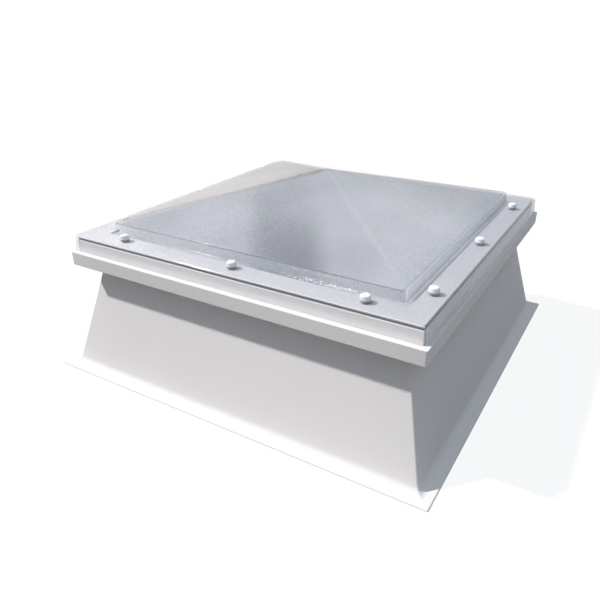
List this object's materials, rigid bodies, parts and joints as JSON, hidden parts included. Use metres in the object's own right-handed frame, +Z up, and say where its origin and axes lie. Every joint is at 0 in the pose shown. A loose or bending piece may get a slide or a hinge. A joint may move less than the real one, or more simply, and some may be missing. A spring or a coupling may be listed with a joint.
{
  "type": "opening rooflight",
  "caption": "Square opening rooflight: clear double-skin pyramid dome in a hinged sash on a splayed white upstand, raised by a hand-wound screw jack.",
  "frame": {"origin": "centre of the base flange's underside, on the roof deck", "axes": "+Z up out of the roof, -Y towards the opening front edge, hinges along +Y"},
  "size_m": [0.9748, 0.9748, 0.4586],
  "materials": {
    "white_upstand": "smooth white moulded gelcoat",
    "white_sash": "white extruded plastic",
    "white_cap": "white moulded plastic",
    "pale_spacer": "pale grey-blue foam tape",
    "grey_seal": "soft extruded rubber",
    "black_gasket": "extruded rubber",
    "grey_washer": "moulded rubber",
    "diffusing_skin": "textured translucent sheet",
    "clear_skin": "clear glossy formed sheet",
    "cast_gearbox": "grey painted casting",
    "bronze_bush": "turned bronze",
    "spindle_steel": "rolled thread, lightly greased",
    "zinc_plate": "zinc plated",
    "bright_fastener": "bright plated"
  },
  "bodies": {
    "upstand": {"upstand": "white_upstand", "hinge_fixed_leaf_left": "zinc_plate", "hinge_fixed_leaf_right": "zinc_plate", "hinge_pin_left": "bright_fastener", "hinge_pin_right": "bright_fastener", "hinge_fixed_screws": "bright_fastener", "jack_bracket": "zinc_plate", "jack_bracket_screws": "bright_fastener", "jack_pivot_bolts": "bright_fastener"},
    "sash": {"sash_frame": "white_sash", "weather_seal": "grey_seal", "glazing_gasket": "black_gasket", "inner_dome": "diffusing_skin", "spacer_strip": "pale_spacer", "outer_dome": "clear_skin", "fixing_washers": "grey_washer", "fixing_screws": "bright_fastener", "fixing_caps": "white_cap", "hinge_moving_leaf_left": "zinc_plate", "hinge_moving_leaf_right": "zinc_plate", "hinge_moving_screws": "bright_fastener", "sash_bracket": "zinc_plate", "sash_bracket_screws": "bright_fastener", "clevis_pin": "bright_fastener", "clevis_clip": "bright_fastener"},
    "jack": {"gearbox_housing": "cast_gearbox", "gearbox_cover": "cast_gearbox", "gearbox_cover_screws": "bright_fastener", "input_bush": "bronze_bush"},
    "spindle": {"spindle": "spindle_steel", "spindle_stop": "spindle_steel", "stop_pin": "bright_fastener"},
    "winding_eye": {"winding_eye": "zinc_plate"}
  },
  "joints": [
    {"name": "sash_hinge", "type": "hinge", "parent": "upstand", "child": "sash", "pos_m": [0, 0.446, 0.302], "axis": [-1, 0, 0], "range_deg": [0, 15]},
    {"name": "jack_swing", "type": "hinge", "parent": "upstand", "child": "jack", "pos_m": [0, -0.33612, 0.262], "axis": [-1, 0, 0], "range_deg": [0, 7.6]},
    {"name": "spindle_slide", "type": "slide", "parent": "jack", "child": "spindle", "axis": [0, -0.016, 0.9999], "range_m": [0, 0.2045]},
    {"name": "eye_winding", "type": "hinge", "parent": "jack", "child": "winding_eye", "pos_m": [0, -0.33612, 0.262], "axis": [0, 0.7183, -0.6957], "range_deg": [0, 7350]}
  ],
  "couplings": [
    {"joint": "jack_swing", "follows": "sash_hinge", "ratio": 0.5},
    {"joint": "spindle_slide", "follows": "sash_hinge", "m_per_rad": 0.77949},
    {"joint": "eye_winding", "follows": "sash_hinge", "ratio": 489.77}
  ]
}
